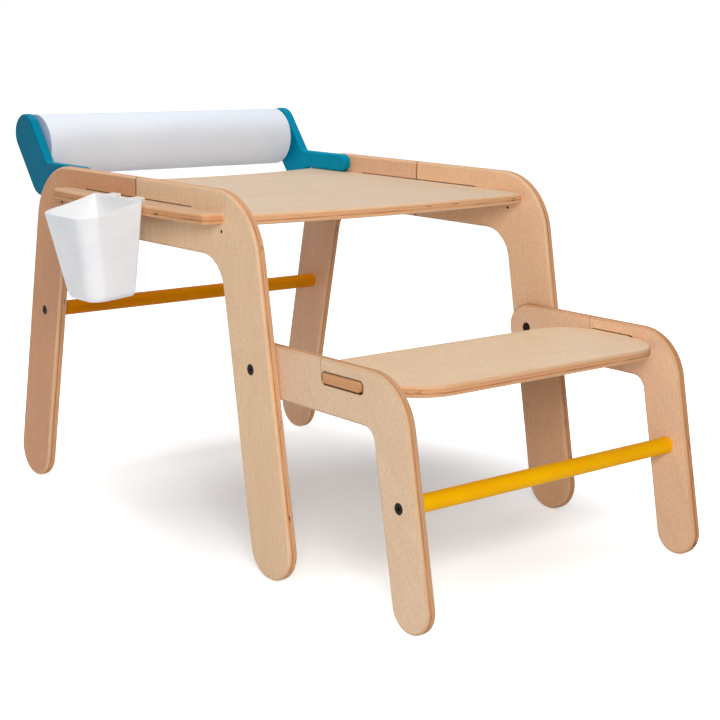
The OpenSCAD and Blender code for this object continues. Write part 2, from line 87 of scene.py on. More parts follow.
# cuts in the boards, measured from the seam, the desk top, the pivot and the seat
NECK_HALF = 139 * MM
PEG_FROM_SEAM = 207 * MM
PEG_BELOW_TOP = 10 * MM
PEG_R = 3.2 * MM
DOWEL_BEHIND_SEAM = 209 * MM
DOWEL_ABOVE_TOP = 14 * MM
SLOT_Y = SEAM_Y - 477 * MM, SEAM_Y - 396 * MM
KERF_FOOT_Y = SLOT_Y[1] - 0.5 * MM
KERF_LEAN = math.tan(math.radians(7.0))
KERF_TOP_Z = PIVOT.z + 33 * MM


# ---------- node helpers ----------

class Graph:
    """A small helper to write a material's node tree."""

    def __init__(self, name):
        self.mat = bpy.data.materials.new(name)
        self.mat.use_nodes = True
        self.tree = self.mat.node_tree
        self.shader = self.tree.nodes["Principled BSDF"]

    def add(self, kind, **settings):
        node = self.tree.nodes.new(kind)
        for key, value in settings.items():
            setattr(node, key, value)
        return node

    def link(self, source, target):
        self.tree.links.new(source, target)

    def put(self, socket, value):
        """Links a socket to a socket, or writes a plain value."""
        if isinstance(value, bpy.types.NodeSocket):
            self.link(value, socket)
        else:
            socket.default_value = value

    def math(self, operation, a, b=0.0, c=0.0):
        node = self.add("ShaderNodeMath", operation=operation)
        for socket, value in zip(node.inputs, (a, b, c)):
            self.put(socket, value)
        return node.outputs[0]

    def vector_math(self, operation, a, b=(0.0, 0.0, 0.0)):
        node = self.add("ShaderNodeVectorMath", operation=operation)
        self.put(node.inputs[0], a)
        self.put(node.inputs[1], b)
        return node.outputs["Value"] if operation in ("DOT_PRODUCT", "LENGTH") else node.outputs[0]

    def mix(self, amount, a, b, blend="MIX"):
        node = self.add("ShaderNodeMix", data_type="RGBA", blend_type=blend)
        self.put(node.inputs["Factor"], amount)
        self.put(node.inputs["A"], a)
        self.put(node.inputs["B"], b)
        return [o for o in node.outputs if o.type == "RGBA"][0]

    def ramp(self, value, stops):
        node = self.add("ShaderNodeValToRGB")
        elements = node.color_ramp.elements
        while len(elements) < len(stops):
            elements.new(0.5)
        for element, (place, colour) in zip(elements, stops):
            element.position = place
            element.color = colour
        self.put(node.inputs[0], value)
        return node.outputs[0]

    def smooth(self, value, low, high, out_low=0.0, out_high=1.0):
        """A soft step: out_low below low, out_high above high. Low may be the larger of the two."""
        node = self.add("ShaderNodeMapRange", interpolation_type="SMOOTHSTEP")
        for socket, number in zip(node.inputs[:5], (value, low, high, out_low, out_high)):
            self.put(socket, number)
        return node.outputs[0]

    def between(self, value, low, high):
        """1 between two lengths, with soft ends."""
        soft = 0.3 * MM
        return self.math("MULTIPLY", self.smooth(value, low - soft, low + soft),
                         self.smooth(value, high + soft, high - soft))

    def noise(self, where, scale=1.0, detail=3.0, roughness=0.5, distortion=0.0):
        node = self.add("ShaderNodeTexNoise")
        self.put(node.inputs["Vector"], where)
        node.inputs["Scale"].default_value = scale
        node.inputs["Detail"].default_value = detail
        node.inputs["Roughness"].default_value = roughness
        node.inputs["Distortion"].default_value = distortion
        return node.outputs["Fac"]

    def object_place(self):
        return self.add("ShaderNodeTexCoord").outputs["Object"]

    def object_place_from(self, origin):
        return self.vector_math("SUBTRACT", self.object_place(), tuple(origin))

    def along_grain(self, stretch, seed):
        """Object coordinates stretched to the grain; seed picks a stretch of the pattern."""
        node = self.add("ShaderNodeMapping")
        node.inputs["Location"].default_value = (seed, seed * 2.0, seed * 3.0)
        node.inputs["Scale"].default_value = stretch
        self.link(self.object_place(), node.inputs["Vector"])
        return node.outputs[0]

    def parts(self, vector):
        """The x, y and z of a vector."""
        node = self.add("ShaderNodeSeparateXYZ")
        self.link(vector, node.inputs[0])
        return tuple(node.outputs)

    def object_normal(self):
        node = self.add("ShaderNodeVectorTransform", vector_type="NORMAL",
                        convert_from="WORLD", convert_to="OBJECT")
        self.link(self.add("ShaderNodeNewGeometry").outputs["Normal"], node.inputs[0])
        return node.outputs[0]

    def facing_along(self, axis):
        """How squarely a surface looks along an object axis, 0 to 1."""
        return self.math("ABSOLUTE", self.parts(self.object_normal())[axis])

    def complete(self, colour, roughness, height, bump_distance, bump_strength=0.5, specular=0.5):
        """Fills the shader in and gives the material back."""
        bump = self.add("ShaderNodeBump")
        bump.inputs["Strength"].default_value = bump_strength
        bump.inputs["Distance"].default_value = bump_distance
        self.put(bump.inputs["Height"], height)
        self.put(self.shader.inputs["Base Color"], colour)
        self.put(self.shader.inputs["Roughness"], roughness)
        self.put(self.shader.inputs["Normal"], bump.outputs[0])
        self.shader.inputs["Specular IOR Level"].default_value = specular
        return self.mat


def srgb(r, g, b):
    """A colour as written in 0 to 255, as Blender's linear RGBA."""
    def linear(v):
        v /= 255.0
        return v / 12.92 if v <= 0.04045 else ((v + 0.055) / 1.055) ** 2.4
    return (linear(r), linear(g), linear(b), 1.0)


def shade(colour, r, g, b):
    return (colour[0] * r, colour[1] * g, colour[2] * b, 1.0)


def dress(name, material):
    node = NODES[name]
    node.data.materials.clear()
    node.data.materials.append(material)


# ---------- plywood ----------

WHITE = (1.0, 1.0, 1.0, 1.0)
ARRIS = srgb(240, 204, 166)
EDGE_TAN = srgb(232, 178, 132)
EDGE_BROWN = srgb(202, 145, 102)
EDGE_DARK = srgb(156, 102, 68)
TENON_END = srgb(212, 154, 108)
# a deep dark for the plies' small hollows, and painted shade on the desk sides' slot walls and peg
# holes
HOLLOW_AND_HOLE_SHADE = srgb(66, 38, 24)
SEAM_DARK = srgb(112, 66, 42)
# painted shade on the bench sides' slot walls
SLOT_WALL_SHADE = srgb(104, 62, 38)

# tints, multiplied into a colour
UNTINTED = (1.0, 1.0, 1.0)
SEAT_EDGE = (0.88, 0.82, 0.78)
SIDE_EDGE = (0.92, 0.90, 0.90)
# the ears' deeper colour: partly their tone, partly painted shade
EAR_TONE_AND_SHADE = srgb(232, 216, 200)
# the right front's darker foot: partly darker veneer, partly painted shade
FOOT_VENEER_AND_SHADE = (0.62, 0.50, 0.42, 1.0)

# the plies across a board's thickness, from face to face: (place, colour)
PLIES = [
    (0.00, ARRIS), (0.14, ARRIS), (0.20, EDGE_TAN), (0.28, EDGE_TAN), (0.34, EDGE_BROWN),
    (0.38, EDGE_DARK), (0.43, EDGE_BROWN), (0.50, EDGE_TAN), (0.60, EDGE_TAN), (0.65, EDGE_BROWN),
    (0.70, EDGE_TAN), (0.86, ARRIS), (1.00, ARRIS)]
PLY_WANDER = 0.14

# what lies over the veneer's figure, in this order: how often it repeats in a metre along the grain
# and across it; detail, roughness and distortion of its noise; the values of the noise between
# which it comes up; how strong it gets; its tint
VENEER_LAYERS = {
    "cloud": ((6.0, 9.0), (3.0, 0.50, 0.0), (0.40, 0.70), 0.55, (0.95, 0.88, 0.83)),
    "streak": ((3.5, 60.0), (3.0, 0.55, 0.6), (0.54, 0.72), 0.30, (0.84, 0.76, 0.70)),
    "mottle": ((220.0, 420.0), (4.0, 0.75, 0.0), (0.44, 0.64), 0.85, (0.82, 0.77, 0.72)),
    "fibre": ((26.0, 380.0), (3.0, 0.60, 0.0), (0.42, 0.74), 0.45, (0.78, 0.71, 0.64)),
    "fleck": ((90.0, 900.0), (2.0, 0.50, 0.0), (0.60, 0.80), 0.40, (0.66, 0.56, 0.48)),
}

# how squarely a surface looks along a board's thickness, where its colour or its finish turns from
# the edge's into the face's, and where a face turns into the wall of a cut
EDGE_TO_FACE = (0.90, 0.985)
EDGE_TO_FACE_FINISH = (0.86, 0.97)
FACE_TO_WALL = (0.5, 0.2)


def plywood(name, node_name, across, grain_turn, seed, tone, details=None, edge_tint=UNTINTED):
    """Birch plywood for one board: veneer figure on its faces, laminations on its edges.
    across is the axis through the board's thickness, grain_turn the angle of the grain in the
    board's plane, tone the veneer's own colour; details(g, colour, place, facing) adds what only
    this board shows, where place is the object x, y and z; edge_tint goes over the edge."""
    g = Graph(name)
    low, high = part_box(node_name)
    axis = "XYZ".index(across)
    where = g.object_place()
    place = g.parts(where)
    through = place[axis]
    flat_a = Vector((1, 0, 0)) if across == "Z" else Vector((0, 0, 1))
    flat_b = Vector((0, 1, 0))
    along = flat_a * math.cos(grain_turn) + flat_b * math.sin(grain_turn)
    aside = flat_b * math.cos(grain_turn) - flat_a * math.sin(grain_turn)
    u = g.vector_math("DOT_PRODUCT", where, tuple(along))
    v = g.vector_math("DOT_PRODUCT", where, tuple(aside))

    def grain_space(stretch_u, stretch_v, stretch_w=0.0):
        node = g.add("ShaderNodeCombineXYZ")
        g.link(g.math("MULTIPLY_ADD", u, stretch_u, seed * 3.1), node.inputs[0])
        g.link(g.math("MULTIPLY_ADD", v, stretch_v, seed * 1.7), node.inputs[1])
        g.link(g.math("MULTIPLY", through, stretch_w), node.inputs[2])
        return node.outputs[0]

    # face veneer: a broad figure, then clouds, long streaks, mottle, fine fibres and short flecks
    figure = g.noise(grain_space(2.4, 10.0), 1.0, 4.0, 0.55, 1.4)
    face = g.ramp(figure, [(0.30, shade(tone, 0.94, 0.91, 0.88)), (0.50, tone),
                           (0.70, shade(tone, 0.95, 0.92, 0.90))])
    noises = {}
    for layer, (stretch, look, span, amount, tint) in VENEER_LAYERS.items():
        noises[layer] = g.noise(grain_space(*stretch), 1.0, *look)
        face = g.mix(g.smooth(noises[layer], *span, 0.0, amount), face, shade(tone, *tint))
    fibre = noises["fibre"]

    # edge laminations: a few uneven plies, with dark glue and small hollows
    depth = g.math("DIVIDE", g.math("SUBTRACT", through, low[axis]), high[axis] - low[axis])
    wander = g.noise(grain_space(7.0, 7.0), 1.0, 2.0, 0.5)
    depth = g.math("ADD", depth, g.math("MULTIPLY_ADD", wander, PLY_WANDER, -PLY_WANDER / 2))
    tan, brown, arris = (shade(wood, *edge_tint) for wood in (EDGE_TAN, EDGE_BROWN, ARRIS))
    edge = g.ramp(depth, [(at, shade(wood, *edge_tint)) for at, wood in PLIES])
    fade = g.noise(grain_space(16.0, 16.0, 160.0), 1.0, 3.0, 0.6)
    edge = g.mix(g.smooth(fade, 0.38, 0.62, 0.0, 0.60), edge, tan)
    end_grain = g.noise(grain_space(420.0, 420.0, 420.0), 1.0, 3.0, 0.6)
    edge = g.mix(g.smooth(end_grain, 0.45, 0.75, 0.0, 0.40), edge, brown)
    core = g.math("MULTIPLY", g.smooth(depth, 0.30, 0.36), g.smooth(depth, 0.70, 0.64))
    hollow = g.noise(grain_space(38.0, 38.0, 300.0), 1.0, 1.0, 0.4)
    hollow = g.math("MULTIPLY", g.smooth(hollow, 0.715, 0.745), core)
    edge = g.mix(hollow, edge, HOLLOW_AND_HOLE_SHADE)

    # a face is where the surface looks along the thickness; the rounding between the two is paler
    facing = g.facing_along(axis)
    on_face = g.smooth(facing, *EDGE_TO_FACE)
    rounded = g.math("MULTIPLY", g.smooth(facing, 0.20, 0.60), g.smooth(facing, 0.998, 0.95))
    colour = g.mix(on_face, edge, face)
    colour = g.mix(g.math("MULTIPLY", rounded, 0.40), colour, arris)
    if details is not None:
        colour = details(g, colour, place, facing)

    roughness = g.math("MULTIPLY_ADD", fibre, 0.10,
                       g.smooth(facing, *EDGE_TO_FACE_FINISH, 0.60, 0.48))
    face_relief = g.math("MULTIPLY", fibre, g.smooth(facing, *EDGE_TO_FACE_FINISH, 0.2, 1.0))
    edge_relief = g.math("SUBTRACT", g.math("MULTIPLY", end_grain, 0.6),
                         g.math("MULTIPLY", hollow, 6.0))
    on_edge = g.math("SUBTRACT", 1.0, on_face)
    height = g.math("ADD", face_relief, g.math("MULTIPLY", on_edge, edge_relief))
    return g.complete(colour, roughness, height, 0.12 * MM, specular=0.22)


# ---------- the other materials ----------

BOARD_GRAIN = (30.0, 420.0, 60.0)
BAR_GRAIN = (24.0, 500.0, 500.0)
LACQUERED_PLIES = 9.0


def lacquer(name, colour, deep, pale, seed, node_name=None):
    """Coloured satin lacquer on wood, with its grain showing through. node_name is the CAD node of
    a part cut from board, which is paler on its edges and shows its plies there; bars give none."""
    g = Graph(name)
    where = g.object_place()
    cloud = g.noise(where, 9.0, 3.0, 0.55)
    grain = g.noise(g.along_grain(BOARD_GRAIN if node_name else BAR_GRAIN, seed), 1.0, 3.0, 0.6)
    body = g.mix(g.smooth(cloud, 0.3, 0.7, 0.0, 0.7), colour, deep)
    body = g.mix(g.smooth(grain, 0.45, 0.8, 0.0, 0.35), body, deep)
    if node_name:
        low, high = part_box(node_name)
        facing = g.facing_along(0)
        depth = g.math("DIVIDE", g.math("SUBTRACT", g.parts(where)[0], low.x), high.x - low.x)
        layer = g.math("FRACT", g.math("MULTIPLY", depth, LACQUERED_PLIES))
        line = g.smooth(g.math("ABSOLUTE", g.math("SUBTRACT", layer, 0.5)), 0.38, 0.49)
        ply = g.math("MULTIPLY", line, g.smooth(facing, 0.6, 0.2))
        body = g.mix(g.smooth(facing, 0.95, 0.55, 0.0, 0.55), body, pale)
        body = g.mix(g.math("MULTIPLY", ply, 0.30), body, deep)
        height = g.math("ADD", g.math("MULTIPLY", grain, 0.5), g.math("MULTIPLY", ply, -1.0))
    else:
        peel = g.noise(where, 900.0, 2.0, 0.5)
        height = g.math("ADD", g.math("MULTIPLY", grain, 0.6), g.math("MULTIPLY", peel, 0.3))
    roughness = g.math("MULTIPLY_ADD", grain, 0.12, 0.38)
    return g.complete(body, roughness, height, 0.1 * MM, specular=0.05)


def paper_material():
    """Wound drawing paper: fine tooth on the outside, layers on the ends, which are darker partly
    as painted shade.
    """
    g = Graph("paper")
    where = g.object_place_from(middle(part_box("paper_roll")))
    _, y, z = g.parts(where)
    radius = g.math("SQRT", g.math("ADD", g.math("MULTIPLY", y, y), g.math("MULTIPLY", z, z)))
    tooth = g.noise(where, 1400.0, 3.0, 0.6)
    cloud = g.noise(where, 14.0, 2.0, 0.5)
    wave = g.noise(where, 5.0, 1.0, 0.5)
    wobble = g.noise(where, 40.0, 2.0, 0.5)
    rings = g.math("SINE", g.math("MULTIPLY_ADD", radius, 2600.0, g.math("MULTIPLY", wobble, 14.0)))
    on_end = g.smooth(g.facing_along(0), 0.5, 0.9)
    sheet = g.mix(g.smooth(cloud, 0.3, 0.7), srgb(240, 246, 255), srgb(236, 242, 252))
    sheet = g.mix(g.smooth(wave, 0.4, 0.65, 0.0, 0.35), sheet, srgb(232, 238, 250))
    # the ends are darker and bluer than the sheet: partly the layers' edges, partly painted shade
    ends = g.mix(g.smooth(rings, -0.6, 0.9), srgb(200, 216, 248), srgb(216, 230, 252))
    height = g.math("ADD", g.math("MULTIPLY", tooth, 0.3),
                    g.math("MULTIPLY", g.math("MULTIPLY", rings, on_end), 0.5))
    return g.complete(g.mix(on_end, sheet, ends), g.math("MULTIPLY_ADD", tooth, 0.12, 0.70),
                    height, 0.08 * MM, specular=0.2)


def card_material():
    """Brown card wound in a spiral."""
    g = Graph("card")
    where = g.object_place_from(middle(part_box("core_tube")))
    x, y, z = g.parts(where)
    turns_in_a_metre = 14.0
    turn = g.math("FRACT", g.math("ADD", g.math("MULTIPLY", x, turns_in_a_metre),
                                  g.math("DIVIDE", g.math("ARCTAN2", z, y), 2.0 * math.pi)))
    seam = g.smooth(g.math("ABSOLUTE", g.math("SUBTRACT", turn, 0.5)), 0.47, 0.495)
    fibre = g.noise(where, 500.0, 4.0, 0.65)
    body = g.mix(g.smooth(fibre, 0.3, 0.75), srgb(176, 146, 112), srgb(146, 116, 84))
    body = g.mix(g.math("MULTIPLY", seam, 0.6), body, srgb(98, 74, 52))
    return g.complete(body, g.math("MULTIPLY_ADD", fibre, 0.1, 0.8),
                    g.math("SUBTRACT", fibre, seam), 0.2 * MM, 0.6)


def plastic_material():
    """White moulded plastic with a faint orange-peel surface and slight handling marks, and painted
    light: paler on the cup's inside."""
    g = Graph("white_plastic")
    where = g.object_place()
    peel = g.noise(where, 650.0, 2.0, 0.5)
    flow = g.noise(where, 18.0, 3.0, 0.5)
    marks = g.noise(where, 95.0, 5.0, 0.7)
    outside = g.mix(g.smooth(flow, 0.35, 0.65), srgb(240, 241, 244), srgb(234, 236, 240))
    # painted light: the cup's inside is paler than its outside
    within = g.mix(g.smooth(flow, 0.35, 0.65), srgb(254, 254, 255), srgb(251, 252, 254))
    from_middle = g.object_place_from(middle(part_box("cup")))
    outward = g.vector_math("DOT_PRODUCT", from_middle, g.object_normal())
    body = g.mix(g.smooth(outward, -2 * MM, 2 * MM), within, outside)
    body = g.mix(g.smooth(marks, 0.62, 0.80, 0.0, 0.25), body, srgb(224, 225, 228))
    return g.complete(body, g.math("MULTIPLY_ADD", marks, 0.16, 0.24), peel, 0.04 * MM, 0.35, 0.45)


def metal(name, colour, worn, metallic, scale, specular):
    """A small metal part: fine scratches, and wear where its surface is rubbed."""
    g = Graph(name)
    where = g.object_place()
    scratch = g.noise(where, scale, 4.0, 0.7)
    patch = g.noise(where, 160.0, 3.0, 0.6)
    body = g.mix(g.smooth(patch, 0.5, 0.8, 0.0, 0.6), colour, worn)
    g.shader.inputs["Metallic"].default_value = metallic
    return g.complete(body, g.math("MULTIPLY_ADD", scratch, 0.2, 0.30), scratch, 0.05 * MM,
                    specular=specular)


def beech_material():
    """Plain turned beech: long fibres with short dark flecks."""
    g = Graph("beech")
    where = g.along_grain((14.0, 260.0, 260.0), 4.0)
    fibre = g.noise(where, 1.0, 4.0, 0.6)
    fleck = g.noise(where, 2.6, 2.0, 0.5)
    body = g.mix(g.smooth(fibre, 0.3, 0.75), srgb(222, 184, 142), srgb(192, 148, 106))
    body = g.mix(g.smooth(fleck, 0.62, 0.74, 0.0, 0.6), body, srgb(146, 100, 66))
    return g.complete(body, g.math("MULTIPLY_ADD", fibre, 0.15, 0.5), fibre, 0.1 * MM)


# ---------- shapes: the boards get their rounded edges ----------

# radii of edges, from the outline down to the rims of small holes
OUTLINE_R = 4.2 * MM
BRACKET_R = 4.0 * MM
SEAM_R = 1.6 * MM
SLOT_R = 1.5 * MM
SMALL_R = 0.6 * MM
FINE_R = SMALL_R / 2
LEFT_SHARP = 0.0
# edges of a larger radius than this get more segments
COARSE_R = 2.0 * MM
# the desk top's front corners: how far they are eased back, and then rounded
CORNER_IN = 6.0 * MM
CORNER_R = 3.0 * MM
HOLE_REACH = 12 * MM
AXES = {"X": Vector((1, 0, 0)), "Z": Vector((0, 0, 1))}


def finish_mesh(piece, sharp_angle):
    """Smooth shading that keeps the flat faces flat."""
    for polygon in piece.data.polygons:
        polygon.use_smooth = True
    piece.data.set_sharp_from_angle(angle=sharp_angle)
    weighted = piece.modifiers.new("weighted", "WEIGHTED_NORMAL")
    weighted.mode = "FACE_AREA"
    weighted.weight = 100
    weighted.keep_sharp = True


def copy_of(node_name):
    """A welded bmesh of a CAD node with its flat faces whole."""
    bm = bmesh.new()
    bm.from_mesh(NODES[node_name].data)
    bmesh.ops.remove_doubles(bm, verts=bm.verts, dist=0.12 * MM)
    bmesh.ops.dissolve_limit(bm, angle_limit=math.radians(0.6), verts=bm.verts, edges=bm.edges)
    bmesh.ops.dissolve_degenerate(bm, dist=MICRON, edges=bm.edges)
    return bm


def round_over(bm, edges, radius, segments):
    bmesh.ops.bevel(bm, geom=edges, offset=radius, offset_type="OFFSET", segments=segments,
                    profile=0.5, affect="EDGES", clamp_overlap=False)


def middle_of(edge):
    return (edge.verts[0].co + edge.verts[1].co) / 2


def ease_corners(bm, axis, is_corner):
    """Moves the corners inwards and rounds the upright edges there."""
    for vert in bm.verts:
        if is_corner(vert.co):
            vert.co.x -= math.copysign(CORNER_IN, vert.co.x)
    upright = [e for e in bm.edges if len(e.link_faces) == 2
               and abs((e.verts[1].co - e.verts[0].co).normalized().dot(axis)) > 0.99
               and is_corner(middle_of(e))]
    round_over(bm, upright, CORNER_R, 6)


def rounded_board(node_name, body, across, radius_at, material, is_corner=None, sharp=32):
    """A copy of a board whose outline edges are rounded over, as a router does it.
    radius_at(point) gives the radius of the edge there, 0 to leave it; is_corner(point) picks the
    upright corners that are eased first; edges under sharp degrees are shaded smooth."""
    bm = copy_of(node_name)
    axis = AXES[across]
    if is_corner is not None:
        ease_corners(bm, axis, is_corner)

    # each edge between a face and a side keeps its radius in microns, as a bevel renews the edges
    marks = bm.edges.layers.int.new("radius")
    radii = set()
    for edge in bm.edges:
        if len(edge.link_faces) != 2:
            continue
        flat = [abs(f.normal.dot(axis)) > 0.95 for f in edge.link_faces]
        if flat[0] == flat[1] or edge.calc_face_angle(0.0) < math.radians(50):
            continue
        edge[marks] = round(radius_at(middle_of(edge)) / MICRON)
        radii.add(edge[marks])
    for mark in sorted(radii - {0}, reverse=True):
        edges = [e for e in bm.edges if e[marks] == mark and len(e.link_faces) == 2]
        radius = mark * MICRON
        round_over(bm, edges, radius, 5 if radius > COARSE_R else 3)

    bmesh.ops.recalc_face_normals(bm, faces=bm.faces)
    mesh = bpy.data.meshes.new(node_name + "_shaped")
    bm.to_mesh(mesh)
    bm.free()
    piece = bpy.data.objects.new(node_name + "_shaped", mesh)
    bpy.context.scene.collection.objects.link(piece)
    mesh.materials.append(material)
    finish_mesh(piece, math.radians(sharp))
    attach(piece, body)
    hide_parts(node_name)


def near(point, centre, reach=HOLE_REACH):
    """Whether a point lies within reach of a centre, seen from the side."""
    return math.hypot(point.y - centre.y, point.z - centre.z) < reach


# the desk's sides

# where the right front's darker foot, partly darker veneer and partly painted shade under the
# bench, begins and is full, along each axis
FOOT_X = (0.0, 0.05)
FOOT_Y = (SEAM_Y, SEAM_Y - 50 * MM)
FOOT_Z = (0.30, 0.20)
FOOT_AMOUNT = 0.55


def side_radius(point):
    """Holes, the neck slot and the seam keep crisper edges than the outline."""
    from_seam = abs(point.y - SEAM_Y)
    if from_seam < 1.0 * MM:
        return SEAM_R
    if math.hypot(from_seam - PEG_FROM_SEAM, point.z - TOP_LOW.z + PEG_BELOW_TOP) < 4 * MM:
        return LEFT_SHARP
    in_slot = (from_seam < NECK_HALF + 6 * MM
               and TOP_LOW.z - 1 * MM < point.z < TOP_HIGH.z + 2.5 * MM)
    return SMALL_R if in_slot or near(point, PIVOT) or near(point, REAR_BAR) else OUTLINE_R


def side_details(g, colour, place, facing):
    """A desk side's dark seam, its slot walls and peg holes coloured dark as painted shade, and the
    right front's darker foot, partly darker veneer and partly painted shade.
    """
    x, y, z = place
    away = g.math("ABSOLUTE", g.math("SUBTRACT", y, SEAM_Y))
    slot = g.math("MULTIPLY", g.smooth(away, NECK_HALF, NECK_HALF - 1 * MM),
                  g.between(z, TOP_LOW.z - 1 * MM, TOP_HIGH.z + 2 * MM))
    up = g.math("SUBTRACT", z, TOP_LOW.z - PEG_BELOW_TOP)
    out = g.math("SUBTRACT", away, PEG_FROM_SEAM)
    to_peg = g.math("SQRT", g.math("ADD", g.math("MULTIPLY", up, up), g.math("MULTIPLY", out, out)))
    # painted shade: the walls of the neck slot and of the peg holes are coloured dark
    dark = g.math("MAXIMUM", slot, g.smooth(to_peg, PEG_R, PEG_R - 0.2 * MM))
    colour = g.mix(g.math("MULTIPLY", dark, g.smooth(facing, *FACE_TO_WALL)), colour, HOLLOW_AND_HOLE_SHADE)
    # partly painted shade: the right front's foot under the bench is darkened, partly as darker
    # veneer
    foot = g.math("MULTIPLY", g.smooth(z, *FOOT_Z), g.smooth(x, *FOOT_X))
    foot = g.math("MULTIPLY", foot, g.smooth(y, *FOOT_Y, 0.0, FOOT_AMOUNT))
    colour = g.mix(foot, colour, FOOT_VENEER_AND_SHADE, "MULTIPLY")
    return g.mix(g.smooth(away, 2.2 * MM, 0.8 * MM, 0.0, 0.80), colour, SEAM_DARK)


# turn of the grain and tone of the veneer; the rear boards' deeper tones are partly veneer and
# partly painted shade
SIDES = {
    "left_front_side": (0.03, srgb(245, 212, 176)), "left_rear_side": (-0.05, srgb(228, 172, 132)),
    "right_front_side": (0.02, srgb(248, 206, 168)), "right_rear_side": (0.06, srgb(236, 190, 156))}
for seed, (name, (turn, tone)) in enumerate(SIDES.items()):
    birch = plywood("birch_" + name, name, "X", turn, 3.0 + seed, tone, side_details, SIDE_EDGE)
    rounded_board(name, "desk", "X", side_radius, birch)


# the bench's sides

def kerf_y(z):
    """The saw kerf's y: it leans towards the desk as it rises from the slot's rear end."""
    return KERF_FOOT_Y + (z - SEAT_HIGH.z) * KERF_LEAN


def bench_radius(point):
    """The slot, the kerf and the holes keep crisper edges than the outline."""
    if (SLOT_Y[0] - 2 * MM < point.y < SLOT_Y[1] + 2 * MM
            and SEAT_LOW.z - 3 * MM < point.z < SEAT_HIGH.z + 3 * MM):
        return SLOT_R
    if abs(point.y - kerf_y(point.z)) < 1.0 * MM and point.z < KERF_TOP_Z:
        return LEFT_SHARP
    return SMALL_R if near(point, PIVOT) or near(point, FRONT_BAR) else OUTLINE_R


def bench_details(g, colour, place, facing):
    """A bench side's slot walls, coloured dark as painted shade, and its kerf."""
    _, y, z = place
    slot = g.math("MULTIPLY", g.between(y, SLOT_Y[0] - 1 * MM, SLOT_Y[1] + 1 * MM),
                  g.between(z, SEAT_LOW.z - 2 * MM, SEAT_HIGH.z + 2 * MM))
    # painted shade: the slot's walls are coloured dark
    colour = g.mix(g.math("MULTIPLY", slot, g.smooth(facing, *FACE_TO_WALL)), colour, SLOT_WALL_SHADE)
    kerf = g.math("ADD", g.math("MULTIPLY", g.math("SUBTRACT", z, SEAT_HIGH.z), KERF_LEAN),
                  KERF_FOOT_Y)
    away = g.math("ABSOLUTE", g.math("SUBTRACT", y, kerf))
    above = g.smooth(z, SEAT_HIGH.z, SEAT_HIGH.z + 1 * MM)
    line = g.math("MULTIPLY", g.smooth(away, 0.9 * MM, 0.4 * MM, 0.0, 0.30), above)
    return g.mix(line, colour, SEAM_DARK)


# turn of the grain, tone of the veneer and tint of the edges; the two sides' differences are partly
# veneer and partly painted shade
BENCH_SIDES = {
    "bench_side_left": (0.62, srgb(239, 208, 177), (0.78, 0.77, 0.76)),
    "bench_side_right": (0.58, srgb(246, 206, 172), (0.80, 0.70, 0.62))}
for seed, (name, (turn, tone, edge)) in enumerate(BENCH_SIDES.items()):
    birch = plywood("birch_" + name, name, "X", turn, 11.0 + seed, tone, bench_details, edge)
    rounded_board(name, "bench", "X", bench_radius, birch)


# the desk top

def top_radius(point):
    """The neck, where it passes through a side, and the hooks' slots stay crisp."""
    edge = 1.5 * MM
    in_neck = (SIDES_OUT[0] - edge < point.x < SIDES_IN[0] + edge
               or SIDES_IN[1] - edge < point.x < SIDES_OUT[1] + edge)
    in_hook_slot = (TOP_LOW.x + 12 * MM < point.x < SIDES_OUT[0]
                    and CUP_LOW.y < point.y < CUP_HIGH.y)
    return FINE_R if in_neck or in_hook_slot else OUTLINE_R


def top_details(g, colour, place, facing):
    """The ears outside the sides are a little deeper in colour, partly as their tone and partly as
    painted shade.
    """
    width = g.math("ABSOLUTE", g.math("SUBTRACT", place[0], (SIDES_OUT[0] + SIDES_OUT[1]) / 2))
    outer = (SIDES_OUT[1] - SIDES_OUT[0]) / 2
    return g.mix(g.smooth(width, outer, outer + 4 * MM, 0.0, 0.80), colour, EAR_TONE_AND_SHADE, "MULTIPLY")


def top_corner(point):
    """The two front corners, which stand a little off the sides."""
    at_end = abs(point.x - SIDES_IN[0]) < 7 * MM or abs(point.x - SIDES_IN[1]) < 7 * MM
    return at_end and point.y < TOP_LOW.y + 30 * MM


top_birch = plywood("birch_desk_top", "desk_top", "Z", 0.0, 21.0, srgb(229, 205, 178), top_details)
rounded_board("desk_top", "desk", "Z", top_radius, top_birch, top_corner)


# the seat

def seat_radius(point):
    """The tenons, outside the bench sides' inner faces, keep the chamfer of the CAD."""
    on_tenon = point.x < BENCH_IN[0] + 0.2 * MM or point.x > BENCH_IN[1] - 0.2 * MM
    return LEFT_SHARP if on_tenon else OUTLINE_R


def seat_details(g, colour, place, facing):
    """The tenons are coloured darker where they pass through the bench sides."""
    width = g.math("ABSOLUTE", g.math("SUBTRACT", place[0], (BENCH_IN[0] + BENCH_IN[1]) / 2))
    inner = (BENCH_IN[1] - BENCH_IN[0]) / 2
    return g.mix(g.smooth(width, inner + 2 * MM, inner + 8 * MM, 0.0, 0.75), colour, TENON_END)


seat_birch = plywood("birch_seat_board", "seat_board", "Z", 0.0, 31.0, srgb(243, 214, 181),
                     seat_details, SEAT_EDGE)
rounded_board("seat_board", "bench", "Z", seat_radius, seat_birch, sharp=50)


# the roll's brackets

def bracket_radius(point):
    """The dowel bores are hidden against the side, the spindle's socket keeps a crisp rim."""
    if (abs(point.y - (SEAM_Y + DOWEL_BEHIND_SEAM)) < 30 * MM
            and abs(point.z - (TOP_HIGH.z + DOWEL_ABOVE_TOP)) < 6 * MM):
        return LEFT_SHARP
    return FINE_R if near(point, ROLL, 9 * MM) else BRACKET_R


